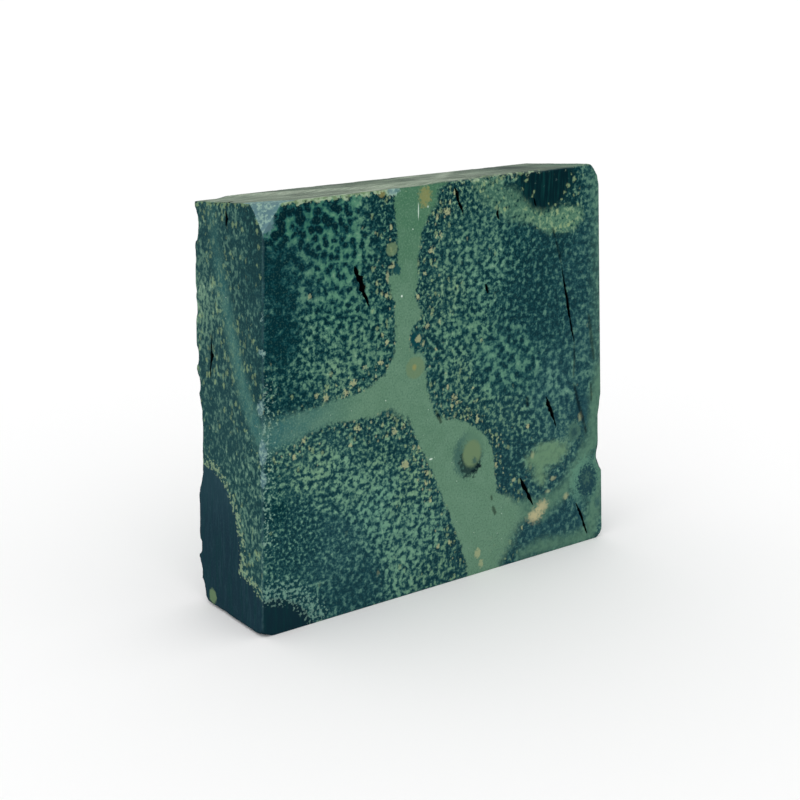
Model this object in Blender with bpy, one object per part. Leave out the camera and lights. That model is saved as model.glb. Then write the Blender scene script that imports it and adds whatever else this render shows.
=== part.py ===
"""A hand-cut slab of kambaba jasper that stands on its sawn lower edge.

The polished face looks along -Y and the width runs along X. The stone is one solid: a block between eight
measured corners, sawn flat at the back, with one rolled edge, spalled edges and open cracks in the polished
face. Sizes are millimetres until the mesh is made.
"""

import bmesh
import bpy
import numpy as np
from mathutils import Vector, noise

METRES_PER_MM = 0.001
TINY = 1e-6

# The eight corners of the block before its edges were knocked. Y is 0 on the polished face.
FRONT_LOW_LEFT = (-43.5, 0.0, 0.0)
FRONT_LOW_RIGHT = (44.8, 0.0, 0.0)
FRONT_TOP_LEFT = (-40.9, 0.0, 81.1)
FRONT_TOP_RIGHT = (39.6, 0.0, 81.7)
BACK_LOW_LEFT = (-43.55, 23.6, 0.0)
BACK_LOW_RIGHT = (44.7, 22.0, 0.0)
BACK_TOP_LEFT = (-41.1, 24.0, 78.7)
BACK_TOP_RIGHT = (40.1, 22.2, 79.2)

WIDTH = FRONT_LOW_RIGHT[0] - FRONT_LOW_LEFT[0]
DEPTH = BACK_TOP_LEFT[1]
HEIGHT = FRONT_TOP_RIGHT[2]

CELL = 0.7
EDGE_ROUND = 0.35
FLOOR_SNAP = 0.12
KEPT_SHARE = 0.06

# Two saw cuts met on the top. Behind the line between them the stone stands a little higher.
TOP_STEP_LINE = ((-33.0, 22.0), (-11.0, 5.5))
TOP_STEP = 0.35
TOP_STEP_RUN = 1.2

# Spalls, each a shell-shaped hollow: two corners that its edge joins, height or place along that edge from 0 to
# 1, depth, half of its length, and the direction that it was struck from.
REAR_LEFT = (BACK_LOW_LEFT, BACK_TOP_LEFT)
REAR_RIGHT = (BACK_LOW_RIGHT, BACK_TOP_RIGHT)
REAR_TOP = (BACK_TOP_LEFT, BACK_TOP_RIGHT)
REAR_LOW = (BACK_LOW_LEFT, BACK_LOW_RIGHT)
FRONT_RIGHT = (FRONT_LOW_RIGHT, FRONT_TOP_RIGHT)
FROM_REAR_LEFT = (-0.3, 1.0, 0.0)
FROM_REAR_RIGHT = (0.5, 1.0, 0.0)
FROM_ABOVE = (0.0, 1.0, 0.4)
FROM_BELOW = (0.0, 1.0, -0.5)
FROM_FRONT_RIGHT = (0.8, -0.6, 0.0)
SPALLS = (
    (REAR_LEFT, 0.946, 1.5, 3.4, FROM_REAR_LEFT),
    (REAR_LEFT, 0.745, 0.6, 2.4, FROM_REAR_LEFT),
    (REAR_LEFT, 0.628, 1.1, 1.9, FROM_REAR_LEFT),
    (REAR_LEFT, 0.556, 1.5, 2.4, FROM_REAR_LEFT),
    (REAR_LEFT, 0.446, 2.2, 9.0, FROM_REAR_LEFT),
    (REAR_LEFT, 0.362, 2.1, 6.6, FROM_REAR_LEFT),
    (REAR_LEFT, 0.220, 0.5, 8.0, FROM_REAR_LEFT),
    (REAR_LEFT, 0.143, 1.3, 2.0, FROM_REAR_LEFT),
    (REAR_LEFT, 0.070, 1.4, 3.4, FROM_REAR_LEFT),
    (REAR_LEFT, 0.020, 2.6, 4.0, FROM_REAR_LEFT),
    (FRONT_RIGHT, 0.330, 1.7, 11.0, FROM_FRONT_RIGHT),
    (FRONT_RIGHT, 0.240, 2.4, 4.8, FROM_FRONT_RIGHT),
    (REAR_RIGHT, 0.870, 0.6, 2.6, FROM_REAR_RIGHT),
    (REAR_RIGHT, 0.640, 2.0, 8.5, FROM_REAR_RIGHT),
    (REAR_RIGHT, 0.510, 1.1, 4.0, FROM_REAR_RIGHT),
    (REAR_RIGHT, 0.210, 1.4, 5.0, FROM_REAR_RIGHT),
    (REAR_TOP, 0.120, 0.3, 2.2, FROM_ABOVE),
    (REAR_TOP, 0.420, 0.3, 3.0, FROM_ABOVE),
    (REAR_TOP, 0.790, 0.4, 3.6, FROM_ABOVE),
    (REAR_LOW, 0.180, 1.0, 5.0, FROM_BELOW),
    (REAR_LOW, 0.620, 2.4, 10.0, FROM_BELOW),
    (REAR_LOW, 0.740, 1.2, 5.0, FROM_BELOW),
    (REAR_LOW, 0.950, 1.4, 3.6, FROM_BELOW),
)

# Flat breaks at corners and one worn edge, each by three points that it passes through.
FLAT_BREAKS = (
    ((-43.6, 0.0, 0.6), (-43.6, 23.0, 0.6), (-42.7, 0.0, 0.0)),
    ((-36.4, 0.0, 81.4), (-41.1, 0.0, 75.7), (-41.0, 4.6, 80.8)),
    ((-43.5, 0.0, 1.3), (-41.0, 0.0, 0.0), (-43.5, 3.6, 0.0)),
    ((-43.5, 21.2, 1.4), (-43.5, 19.4, 0.0), (-40.8, 21.2, 0.0)),
    ((40.3, 0.0, 74.5), (40.3, 20.0, 74.5), (37.4, 0.0, 81.9)),
    ((38.7, 0.0, 79.0), (38.7, 20.0, 79.0), (36.2, 0.0, 81.9)),
    ((44.6, 0.0, 3.2), (44.6, 5.0, 2.8), (43.2, 0.0, 0.3)),
    ((44.2, 0.0, 1.4), (44.2, 5.0, 1.2), (41.8, 0.0, 0.0)),
)

# The polished face rolls over into the right side through three narrow flats: inset from the edge, and depth.
RIGHT_ROLL = ((2.6, 0.5), (1.3, 1.3), (0.5, 2.6))

# The broken skin inside a spall: size of its lumps and how far they stand out.
LUMP_SIZE = 3.2
LUMP_HEIGHT = 0.3

# Open cracks: places on the face, then width and depth at the widest. A place is X and Z on the polished face,
# and Y and Z on the left face.
FRONT_CRACKS = (
    (((-21.4, 67.4), (-20.3, 64.4), (-19.6, 62.6), (-18.7, 60.5)), 1.5, 1.2),
    (((1.2, 80.2), (2.5, 77.1), (3.4, 74.9)), 0.8, 0.8),
    (((27.4, 66.8), (29.0, 62.5), (30.4, 56.6), (31.7, 50.8), (33.3, 44.8)), 0.6, 0.8),
    (((26.2, 34.3), (27.5, 31.2), (28.9, 27.7)), 0.8, 0.8),
    (((19.5, 18.1), (21.3, 15.0), (23.4, 11.0)), 0.9, 0.9),
    (((35.7, 9.2), (37.1, 5.8), (38.8, 1.8)), 1.0, 0.9),
)
LEFT_CRACKS = (
    (((12.4, 77.9), (12.2, 76.6), (12.5, 75.4)), 1.0, 0.9),
    (((17.9, 53.8), (17.9, 50.4), (18.5, 46.2)), 1.1, 1.1),
)


def clear_scene():
    """Removes whatever the file held before."""
    for old in list(bpy.data.objects):
        bpy.data.objects.remove(old)


def cut_unit_block():
    """A unit cube with loop cuts, so that its faces carry square cells of about CELL."""
    block = bmesh.new()
    bmesh.ops.create_cube(block, size=1.0)
    for axis, length in enumerate((WIDTH, DEPTH, HEIGHT)):
        crossed = [e for e in block.edges if abs(e.verts[0].co[axis] - e.verts[1].co[axis]) > TINY]
        bmesh.ops.subdivide_edges(block, edges=crossed, cuts=round(length / CELL) - 1, use_grid_fill=True)
    return block


def block_points(unit):
    """Unit cube points carried into the block between the eight corners, with its edges rounded."""
    size = np.array((WIDTH, DEPTH, HEIGHT))
    inside = np.clip(unit * size, EDGE_ROUND, size - EDGE_ROUND)
    outward = unit * size - inside
    outward *= EDGE_ROUND / np.linalg.norm(outward, axis=1, keepdims=True)
    x, y, z = ((inside + outward) / size).T[:, :, None]
    front_low = (1 - x) * np.array(FRONT_LOW_LEFT) + x * np.array(FRONT_LOW_RIGHT)
    front_top = (1 - x) * np.array(FRONT_TOP_LEFT) + x * np.array(FRONT_TOP_RIGHT)
    back_low = (1 - x) * np.array(BACK_LOW_LEFT) + x * np.array(BACK_LOW_RIGHT)
    back_top = (1 - x) * np.array(BACK_TOP_LEFT) + x * np.array(BACK_TOP_RIGHT)
    front = (1 - z) * front_low + z * front_top
    back = (1 - z) * back_low + z * back_top
    return (1 - y) * front + y * back


def along(edge, share):
    """The point at a share of the way along a straight edge."""
    start, end = np.array(edge[0]), np.array(edge[1])
    return start + (end - start) * share


def bite(points, place, outward, depth, half_length):
    """Presses a shell-shaped hollow into the stone. Its skin is a little lumpy."""
    radius = (half_length**2 + depth**2) / (2 * depth)
    outward = np.array(outward) / np.linalg.norm(outward)
    centre = place + outward * (radius - depth)
    away = points - centre
    reach = np.linalg.norm(away, axis=1)
    for i in np.nonzero(reach < radius)[0]:
        landed = centre + away[i] * radius / reach[i]
        room = min(1.0, (radius - reach[i]) / LUMP_HEIGHT)
        lump = LUMP_HEIGHT * room * noise.noise(Vector(landed) / LUMP_SIZE)
        points[i] = landed + away[i] / reach[i] * lump
    return points


def shave(points, through):
    """Lays every point that is beyond the plane through three points back onto it."""
    a, b, c = (np.array(p) for p in through)
    normal = np.cross(b - a, c - a)
    middle = np.array((0.0, DEPTH / 2, HEIGHT / 2))
    normal /= np.linalg.norm(normal) * np.sign((a - middle) @ normal)
    beyond = np.clip((points - a) @ normal, 0.0, None)
    return points - beyond[:, None] * normal


def raise_top(points, unit):
    """Lifts the part of the top that lies behind the step between two saw cuts."""
    start, end = np.array(TOP_STEP_LINE)
    run = (end - start) / np.linalg.norm(end - start)
    behind = (points[:, :2] - start) @ (-run[1], run[0])
    rise = np.clip(behind / TOP_STEP_RUN + 0.5, 0.0, 1.0) * TOP_STEP
    points[:, 2] += np.where(unit[:, 2] > 1 - TINY, rise, 0.0)
    return points


def roll_right_edge(points):
    """Turns the polished face into the right side through narrow flats."""
    low, top = np.array(FRONT_LOW_RIGHT), np.array(FRONT_TOP_RIGHT)
    for inset, depth in RIGHT_ROLL:
        points = shave(points, (low - (inset, 0, 0), top - (inset, 0, 0), low + (0, depth, 0)))
    return points


def on_left_face(y, z):
    """The point of the left face at a depth and a height."""
    front = along((FRONT_LOW_LEFT, FRONT_TOP_LEFT), z / HEIGHT)
    back = along((BACK_LOW_LEFT, BACK_TOP_LEFT), z / HEIGHT)
    return np.array((front[0] + (back[0] - front[0]) * y / DEPTH, y, z))


def add_wedge(cutter, line, inward, width, depth):
    """A lens-shaped wedge along a crack, with a point at both ends."""
    inward = np.array(inward)
    first = cutter.verts.new(line[0])
    rings = []
    for before, here, after in zip(line, line[1:], line[2:]):
        run = (after - before) / np.linalg.norm(after - before)
        side = np.cross(run, inward) * width / 2
        ring = (here + side, here + inward * depth, here - side, here - inward * depth)
        rings.append([cutter.verts.new(corner) for corner in ring])
    last = cutter.verts.new(line[-1])
    for k in range(4):
        n = (k + 1) % 4
        cutter.faces.new((first, rings[0][k], rings[0][n]))
        cutter.faces.new((last, rings[-1][n], rings[-1][k]))
        for ring, following in zip(rings, rings[1:]):
            cutter.faces.new((ring[k], following[k], following[n], ring[n]))


def crack_cutter():
    """The wedges of all open cracks."""
    cutter = bmesh.new()
    for places, width, depth in FRONT_CRACKS:
        add_wedge(cutter, [np.array((x, 0.0, z)) for x, z in places], (0.0, 1.0, 0.0), width, depth)
    for places, width, depth in LEFT_CRACKS:
        add_wedge(cutter, [on_left_face(y, z) for y, z in places], (1.0, 0.0, 0.0), width, depth)
    return cutter


def stone_points(unit):
    """Where every point of the unit block ends up, in millimetres from the middle of the low front edge."""
    points = block_points(unit)
    points = raise_top(points, unit)
    points = roll_right_edge(points)
    for edge, share, depth, half_length, outward in SPALLS:
        points = bite(points, along(edge, share), outward, depth, half_length)
    for through in FLAT_BREAKS:
        points = shave(points, through)
    points[:, 2] = np.where(points[:, 2] < FLOOR_SNAP, 0.0, points[:, 2])
    return points


def finished_mesh(shape, points, origin, name):
    """A bmesh turned into a mesh in metres, with its points moved to places given in millimetres."""
    for vertex, place in zip(shape.verts, points):
        vertex.co = (np.array(place) - origin) * METRES_PER_MM
    bmesh.ops.recalc_face_normals(shape, faces=shape.faces)
    mesh = bpy.data.meshes.new(name)
    shape.to_mesh(mesh)
    shape.free()
    return mesh


def jasper_material():
    """Dark blue-green stone with a dull polish."""
    material = bpy.data.materials.new("jasper")
    material.use_nodes = True
    shader = material.node_tree.nodes["Principled BSDF"]
    shader.inputs["Base Color"].default_value = (0.045, 0.125, 0.105, 1.0)
    shader.inputs["Roughness"].default_value = 0.35
    shader.inputs["Metallic"].default_value = 0.0
    material.diffuse_color = (0.045, 0.125, 0.105, 1.0)
    return material


def main():
    clear_scene()
    block = cut_unit_block()
    points = stone_points(np.array([v.co for v in block.verts]) + 0.5)
    low, high = points.min(axis=0), points.max(axis=0)
    origin = np.array(((low[0] + high[0]) / 2, (low[1] + high[1]) / 2, low[2]))

    stone = bpy.data.objects.new("stone_slab", finished_mesh(block, points, origin, "stone_slab"))
    bpy.context.scene.collection.objects.link(stone)
    stone.data.materials.append(jasper_material())
    thin = stone.modifiers.new("fewer_flat_facets", "DECIMATE")
    thin.decimate_type = "COLLAPSE"
    thin.ratio = KEPT_SHARE

    wedges = crack_cutter()
    places = [v.co.copy() for v in wedges.verts]
    cutter = bpy.data.objects.new("crack_wedges", finished_mesh(wedges, places, origin, "crack_wedges"))
    bpy.context.scene.collection.objects.link(cutter)
    cutter.hide_render = True
    cutter.display_type = "WIRE"
    cut = stone.modifiers.new("open_cracks", "BOOLEAN")
    cut.operation = "DIFFERENCE"
    cut.solver = "EXACT"
    cut.object = cutter


main()
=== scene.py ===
# %% [markdown]
# # A slab of kambaba jasper
# The real object is one hand-cut stone that stands on its lower edge. Its front is polished, its other
# sides are as the saw left them, and its edges are chipped. The looks have three parts: a fine net of faces
# that follows the solid, numbers stored on that net that say where veins, orbs and cracks lie, and one
# material that reads them. Everything below is in millimetres until it becomes a mesh.

import math
from itertools import product

import bmesh
import bpy
import numpy as np
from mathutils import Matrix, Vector, noise


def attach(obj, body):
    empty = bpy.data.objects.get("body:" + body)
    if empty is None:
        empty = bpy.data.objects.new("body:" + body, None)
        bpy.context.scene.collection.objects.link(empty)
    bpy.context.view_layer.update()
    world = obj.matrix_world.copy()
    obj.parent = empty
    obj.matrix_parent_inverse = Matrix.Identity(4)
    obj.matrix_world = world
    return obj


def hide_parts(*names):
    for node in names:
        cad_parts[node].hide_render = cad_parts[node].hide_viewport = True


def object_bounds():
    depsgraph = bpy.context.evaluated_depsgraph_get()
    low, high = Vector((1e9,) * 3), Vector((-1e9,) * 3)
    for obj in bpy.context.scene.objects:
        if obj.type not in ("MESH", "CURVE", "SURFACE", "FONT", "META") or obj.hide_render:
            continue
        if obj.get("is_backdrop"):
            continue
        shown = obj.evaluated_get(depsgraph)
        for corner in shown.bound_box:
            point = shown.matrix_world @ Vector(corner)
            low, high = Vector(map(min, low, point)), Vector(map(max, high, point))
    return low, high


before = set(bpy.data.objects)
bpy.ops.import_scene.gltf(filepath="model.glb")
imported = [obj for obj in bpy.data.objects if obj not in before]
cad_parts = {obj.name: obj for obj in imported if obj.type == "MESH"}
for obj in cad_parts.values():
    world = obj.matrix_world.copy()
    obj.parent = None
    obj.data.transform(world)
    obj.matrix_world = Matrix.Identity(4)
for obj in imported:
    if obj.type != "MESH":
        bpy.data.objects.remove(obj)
cad_low, cad_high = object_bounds()
MM = 0.001
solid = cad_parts["stone_slab"]
print("solid", [round(side / MM, 1) for side in cad_high - cad_low], "mm")

# %% [markdown]
# ## A ruler on the polished face
# The pattern was read off the polished face. Its ruler starts on the face, a little above the foot: X to the
# right, Y into the stone and Z up. Only the ruler is tied to the solid's box, and every place below is on it.

# %% Place the ruler
LEFT_FOOT = -43.53
RULER_HEIGHT = 0.3
ruler_zero = np.array((cad_low.x / MM - LEFT_FOOT, cad_low.y / MM, RULER_HEIGHT))


def on_ruler(points):
    """Points in metres, as places on the ruler."""
    return np.asarray(points) / MM - ruler_zero


def off_ruler(places):
    """Places on the ruler, as points in metres."""
    return (np.asarray(places) + ruler_zero) * MM


print("ruler starts at", ruler_zero.round(2))

# %% [markdown]
# ## Camera
# The slab was photographed from the left front and a little above, with a long lens. The eight corners of the
# slab fix the camera: its place on the ruler, its turn and its lens.

# %% Camera
CAMERA_PLACE = (-174.71, -220.22, 121.71)
CAMERA_TURN = -36.54
CAMERA_DROP = 16.5
LENS = 67.5
NEAREST_SEEN = 0.01

camera_data = bpy.data.cameras.new("camera")
camera_data.lens = LENS
camera_data.clip_start = NEAREST_SEEN
camera = bpy.data.objects.new("camera", camera_data)
camera.location = off_ruler(CAMERA_PLACE)
camera.rotation_euler = (math.radians(90 - CAMERA_DROP), 0, math.radians(CAMERA_TURN))
bpy.context.scene.collection.objects.link(camera)
bpy.context.scene.camera = camera
print("camera at", [round(part, 3) for part in camera.location])

# %% [markdown]
# ## Floor and light
# A plain pale floor and an even sky stand in for a light tent. A wide sun from the left and above gives the
# top its brightness and leaves one soft shadow. Standard colour keeps the deep blue-greens, which a film
# curve greys.

# %% Floor and light
FLOOR_SIZE = 12.0
FLOOR_PAINT = (0.93, 0.93, 0.93, 1.0)
FLOOR_ROUGHNESS = 0.9
SKY_PAINT = (1.0, 1.0, 1.0, 1.0)
SKY_STRENGTH = 0.95
SUN_STRENGTH = 0.6
SUN_SPREAD = 70
SUN_TURN = (38, -14, -30)

bpy.context.scene.view_settings.view_transform = "Standard"
world = bpy.data.worlds.new("light tent")
world.use_nodes = True
sky = world.node_tree.nodes["Background"]
sky.inputs["Color"].default_value = SKY_PAINT
sky.inputs["Strength"].default_value = SKY_STRENGTH
bpy.context.scene.world = world

sun_data = bpy.data.lights.new("wide sun", "SUN")
sun_data.energy = SUN_STRENGTH
sun_data.angle = math.radians(SUN_SPREAD)
sun = bpy.data.objects.new("wide sun", sun_data)
sun.rotation_euler = [math.radians(angle) for angle in SUN_TURN]
bpy.context.scene.collection.objects.link(sun)

bpy.ops.mesh.primitive_plane_add(size=FLOOR_SIZE)
floor = bpy.context.object
floor.name = "floor"
floor_paint = bpy.data.materials.new("pale floor")
floor_paint.use_nodes = True
floor_shader = floor_paint.node_tree.nodes["Principled BSDF"]
floor_shader.inputs["Base Color"].default_value = FLOOR_PAINT
floor_shader.inputs["Roughness"].default_value = FLOOR_ROUGHNESS
floor.data.materials.append(floor_paint)
floor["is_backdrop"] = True
print("floor", FLOOR_SIZE, "m wide, sky", SKY_STRENGTH, "and sun", SUN_STRENGTH)

# %% [markdown]
# ## Writing node maths as maths
# Both the net and the material are built from nodes. One small class wraps a socket, so that a sum of wires
# reads like a sum, and one method adds any other node.

# %% The wire class
class Wire:
    """An output socket. Maths on wires adds nodes to the tree that the socket is in."""

    def __init__(self, socket):
        self.socket = socket

    def node(self, kind, settings=None, values=None, output=0):
        """Adds a node, makes its settings, then gives its inputs their values or links."""
        tree = self.socket.id_data
        made = tree.nodes.new(kind)
        for name, setting in (settings or {}).items():
            setattr(made, name, setting)
        for key, value in (values or {}).items():
            if isinstance(value, Wire):
                tree.links.new(value.socket, made.inputs[key])
            else:
                made.inputs[key].default_value = value
        return Wire(made.outputs[output])

    def maths(self, operation, *values):
        """A Math node on values and wires. This wire only says which tree it goes in."""
        return self.node("ShaderNodeMath", {"operation": operation}, dict(enumerate(values)))

    def __add__(self, other):
        return self.maths("ADD", self, other)

    def __sub__(self, other):
        return self.maths("SUBTRACT", self, other)

    def __rsub__(self, other):
        return self.maths("SUBTRACT", other, self)

    def __mul__(self, other):
        return self.maths("MULTIPLY", self, other)

    def __truediv__(self, other):
        return self.maths("DIVIDE", self, other)

    def __rtruediv__(self, other):
        return self.maths("DIVIDE", other, self)

    __radd__ = __add__
    __rmul__ = __mul__

    def at_least(self, other):
        return self.maths("MAXIMUM", self, other)

    def at_most(self, other):
        return self.maths("MINIMUM", self, other)

    def rise(self, low, high):
        """0 below low and 1 above high, with a soft start and end. It falls where low is above high."""
        limits = {"Value": self, "From Min": low, "From Max": high}
        return self.node("ShaderNodeMapRange", {"interpolation_type": "SMOOTHSTEP"}, limits)

    def vector(self, operation, other, output=0):
        return self.node("ShaderNodeVectorMath", {"operation": operation}, {0: self, 1: other}, output)

    def stretched(self, factors):
        return self.vector("MULTIPLY", factors)

    def length(self):
        return self.node("ShaderNodeVectorMath", {"operation": "LENGTH"}, {0: self}, 1)

    def scaled(self, factor):
        return self.node("ShaderNodeVectorMath", {"operation": "SCALE"}, {0: self, "Scale": factor})

    def grain(self, scale, detail=2.0, roughness=0.5, output=0):
        """Noise on this place, around 0.5, with scale lumps for each millimetre. Output 1 is a vector."""
        values = {"Vector": self, "Scale": scale, "Detail": detail, "Roughness": roughness}
        return self.node("ShaderNodeTexNoise", {"noise_dimensions": "3D"}, values, output)

    def blend(self, value_at_0, value_at_1):
        """A number between two others. This wire is the share of the second."""
        return self.node("ShaderNodeMix", {"data_type": "FLOAT"}, {0: self, 2: value_at_0, 3: value_at_1})

    def tint(self, colour_at_0, colour_at_1):
        """A colour between two others. This wire is the share of the second."""
        return self.node("ShaderNodeMix", {"data_type": "RGBA"}, {0: self, 6: colour_at_0, 7: colour_at_1}, 2)


# %% [markdown]
# ## The six sawn sides
# The solid has six large flats. The area-weighted mean of the faces that look one way gives each plane, and
# three planes meet in each corner. The eight corners carry the net, so its lines run along the stone's
# edges.

# %% Find the planes and the corners
SAME_WAY = 0.99
JOIN_GAP = 0.001


def solid_copy():
    """The solid's own mesh with its loose triangles joined."""
    shape = bmesh.new()
    shape.from_mesh(solid.data)
    bmesh.ops.remove_doubles(shape, verts=shape.verts, dist=JOIN_GAP * MM)
    mesh = bpy.data.meshes.new("joined solid")
    shape.to_mesh(mesh)
    shape.free()
    return mesh


def side_plane(mesh, way):
    """(normal, distance) of the flat that looks one way, in millimetres on the ruler."""
    faces = [f for f in mesh.polygons if f.normal.dot(way) > SAME_WAY]
    areas = np.array([f.area for f in faces])
    normals = np.array([f.normal for f in faces])
    normal = (normals * areas[:, None]).sum(axis=0)
    normal /= np.linalg.norm(normal)
    centres = on_ruler([f.center for f in faces])
    return normal, (centres @ normal * areas).sum() / areas.sum()


joined = solid_copy()
planes = {}
for axis, sign in product(range(3), (-1, 1)):
    way = Vector((0, 0, 0))
    way[axis] = sign
    planes[axis, sign] = side_plane(joined, way)

corners = {}
for signs in product((-1, 1), repeat=3):
    normals, distances = zip(*(planes[axis, sign] for axis, sign in enumerate(signs)))
    corners[signs] = np.linalg.solve(np.array(normals), np.array(distances))
    print("corner", signs, corners[signs].round(2))

# %% [markdown]
# ## A net that follows the stone
# A plain block would lose the chips, and the solid's own long triangles are too coarse to carry a pattern. A
# Geometry Nodes tree lays a fine net instead. It starts as a unit cube of cells, crowds the cells towards the
# edges, stretches them between the eight corners and draws each point onto the nearest face of the solid.

# %% The net
NET_CELLS = (168, 52, 156)
CROWDING = 0.45


def tree_with_inputs(name, sockets):
    """An empty Geometry Nodes tree, the wires of its inputs, and their identifiers."""
    tree = bpy.data.node_groups.new(name, "GeometryNodeTree")
    kinds = {"Geometry": "NodeSocketGeometry", **sockets}
    keys = {}
    for label, kind in kinds.items():
        keys[label] = tree.interface.new_socket(label, in_out="INPUT", socket_type=kind).identifier
    tree.interface.new_socket("Geometry", in_out="OUTPUT", socket_type="NodeSocketGeometry")
    inside = tree.nodes.new("NodeGroupInput")
    return tree, {label: Wire(inside.outputs[label]) for label in kinds}, keys


def close_tree(tree, geometry, material):
    """Ends a tree in Realize Instances and Set Material."""
    real = geometry.node("GeometryNodeRealizeInstances", None, {"Geometry": geometry})
    painted = real.node("GeometryNodeSetMaterial", None, {"Geometry": real, "Material": material})
    end = tree.nodes.new("NodeGroupOutput")
    tree.links.new(painted.socket, end.inputs["Geometry"])


def run_tree(thing, tree, keys, values):
    """Runs a tree on an object once, with its inputs set, and keeps the result as the object's plain mesh."""
    modifier = thing.modifiers.new(tree.name, "NODES")
    modifier.node_group = tree
    for label, value in values.items():
        modifier[keys[label]] = value
    keep_evaluated(thing)


def keep_evaluated(thing):
    """Replaces an object's mesh by the evaluated one and removes its modifiers."""
    bpy.context.view_layer.update()
    result = bpy.data.meshes.new_from_object(thing.evaluated_get(bpy.context.evaluated_depsgraph_get()))
    thing.modifiers.clear()
    thing.data = result
    triangles = sum(len(face.vertices) - 2 for face in result.polygons)
    print(thing.name, len(result.vertices), "points", triangles, "triangles")


def net_tree(material):
    """The tree that lays the net over the object that it is run on."""
    corner_names = {signs: "Corner %+d %+d %+d" % signs for signs in corners}
    labels = {"Cells X": "NodeSocketInt", "Cells Y": "NodeSocketInt", "Cells Z": "NodeSocketInt"}
    labels["Crowding"] = "NodeSocketFloat"
    labels.update({name: "NodeSocketVector" for name in corner_names.values()})
    tree, wires, keys = tree_with_inputs("net over a stone", labels)
    first = wires["Geometry"]
    sizes = {"Size": (1, 1, 1)}
    for letter in "XYZ":
        sizes["Vertices " + letter] = wires["Cells " + letter] + 1
    cube = first.node("GeometryNodeMeshCube", None, sizes)

    place = first.node("GeometryNodeInputPosition")
    split = [place.node("ShaderNodeSeparateXYZ", None, {0: place}, k) for k in range(3)]
    shares = []
    for part in split:
        swing = part.maths("SINE", part * (2 * math.pi))
        shares.append(part + 0.5 + swing * wires["Crowding"] / (2 * math.pi))

    def between(share, low, high):
        return share.node("ShaderNodeMix", {"data_type": "VECTOR"}, {0: share, 4: low, 5: high}, 1)

    level = {}
    for y in (-1, 1):
        for z in (-1, 1):
            left, right = (wires[corner_names[x, y, z]] for x in (-1, 1))
            level[y, z] = between(shares[0], left, right)
    low, high = (between(shares[1], level[-1, z], level[1, z]) for z in (-1, 1))
    spread = between(shares[2], low, high)
    block = cube.node("GeometryNodeSetPosition", None, {"Geometry": cube, "Position": spread})

    nearest = {"Target": first, "Source Position": first.node("GeometryNodeInputPosition")}
    drawn = first.node("GeometryNodeProximity", {"target_element": "FACES"}, nearest)
    net = block.node("GeometryNodeSetPosition", None, {"Geometry": block, "Position": drawn})
    close_tree(tree, net, material)
    return tree, keys, corner_names


jasper = bpy.data.materials.new("kambaba jasper")
jasper.use_nodes = True
stone = bpy.data.objects.new("jasper_slab", joined)
bpy.context.scene.collection.objects.link(stone)
tree, keys, corner_names = net_tree(jasper)
values = {"Cells X": NET_CELLS[0], "Cells Y": NET_CELLS[1], "Cells Z": NET_CELLS[2], "Crowding": CROWDING}
values.update({name: tuple(off_ruler(corners[signs])) for signs, name in corner_names.items()})
run_tree(stone, tree, keys, values)
# The tree's cube brings an empty first slot for materials, which nothing uses.
stone.data.materials.pop(index=0)
print("materials", [material.name for material in stone.data.materials])

# %% [markdown]
# ## Which side a point is on
# Every later step asks how a point lies: which side it belongs to, how far it is from the stone's edges and
# how deep it was drawn in. The flats that were measured above answer all three.

# %% Sides, edges and depth
def points_of(thing):
    """The object's points on the ruler, one row each."""
    flat = np.empty(len(thing.data.vertices) * 3, np.float32)
    thing.data.vertices.foreach_get("co", flat)
    return on_ruler(flat.reshape(-1, 3))


def move_points(thing, places):
    thing.data.vertices.foreach_set("co", off_ruler(places).astype(np.float32).ravel())
    thing.data.update()


def soft_step(value, low, high):
    share = np.clip((value - low) / (high - low), 0, 1)
    return share * share * (3 - 2 * share)


def under(places, side):
    """How far each place is inside the flat of a side."""
    normal, distance = planes[side]
    return distance - places @ normal


def on_flat(places, side):
    """The places moved onto the flat of a side, straight along its normal."""
    return places + under(places, side)[:, None] * planes[side][0]


FRONT, BACK = (1, -1), (1, 1)
LEFT, RIGHT = (0, -1), (0, 1)
FOOT, TOP = (2, -1), (2, 1)
SIDES = (FRONT, BACK, LEFT, RIGHT, FOOT, TOP)
FLAT_DEPTH = 0.12
SIDE_FADE = (-0.15, 0.35)


def share_of_side(places, side):
    """1 on a side and 0 off it, from the depth under its flat against the depth under the others."""
    depths = np.stack([under(places, other) for other in SIDES])
    own = depths[SIDES.index(side)]
    others = np.delete(depths, SIDES.index(side), axis=0).min(axis=0)
    return soft_step(others - own, *SIDE_FADE)


def depth_below(places):
    """How deep each place lies under the nearest flat."""
    return np.min([under(places, side) for side in SIDES], axis=0)


def edge_distance(places, first, second):
    """Distance to the edge where two sides meet, in millimetres."""
    return np.hypot(under(places, first), under(places, second))


def store(thing, name, values):
    """Keeps one number for each point under a name that nodes can read."""
    data = thing.data.attributes.get(name) or thing.data.attributes.new(name, "FLOAT", "POINT")
    data.data.foreach_set("value", np.ascontiguousarray(values, np.float32))


def lumps(places, size, seed):
    """Smooth noise from -1 to 1 whose lumps are about the given size in millimetres."""
    step = np.asarray(places) / size + seed
    return np.array([noise.noise(Vector(place)) for place in step])


net = points_of(stone)
print("deepest point", round(float(depth_below(net).max()), 2), "mm under the nearest side")
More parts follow.
